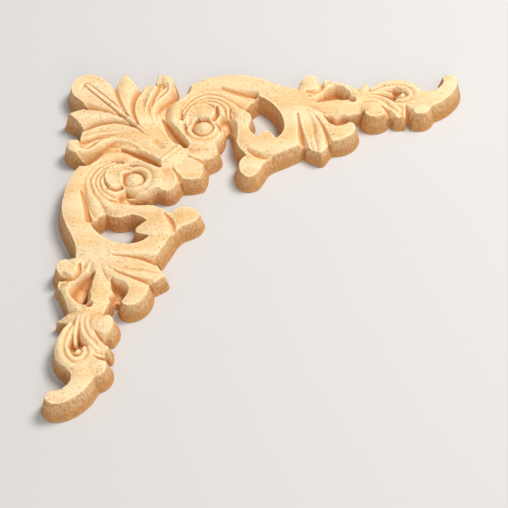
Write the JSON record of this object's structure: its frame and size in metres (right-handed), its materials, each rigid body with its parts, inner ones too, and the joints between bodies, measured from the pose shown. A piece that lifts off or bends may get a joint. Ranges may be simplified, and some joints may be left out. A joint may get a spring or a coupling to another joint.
{
  "type": "wooden corner onlay",
  "caption": "L-shaped carved wooden corner onlay with a leaf palmette on the corner and a volute and scrolled leaf arm on each side, flat on the back.",
  "frame": {"origin": "on the back plane, under the middle of the square that the onlay fills", "axes": "+Z out of the carved face; the corner is at -X +Y, one arm runs from it along +X and the other along -Y"},
  "size_m": [0.2, 0.2, 0.012],
  "materials": {
    "carved_wood": "raw carved hardwood, matt, unsanded side walls"
  },
  "bodies": {
    "root": {"corner_onlay": "carved_wood"}
  },
  "joints": []
}
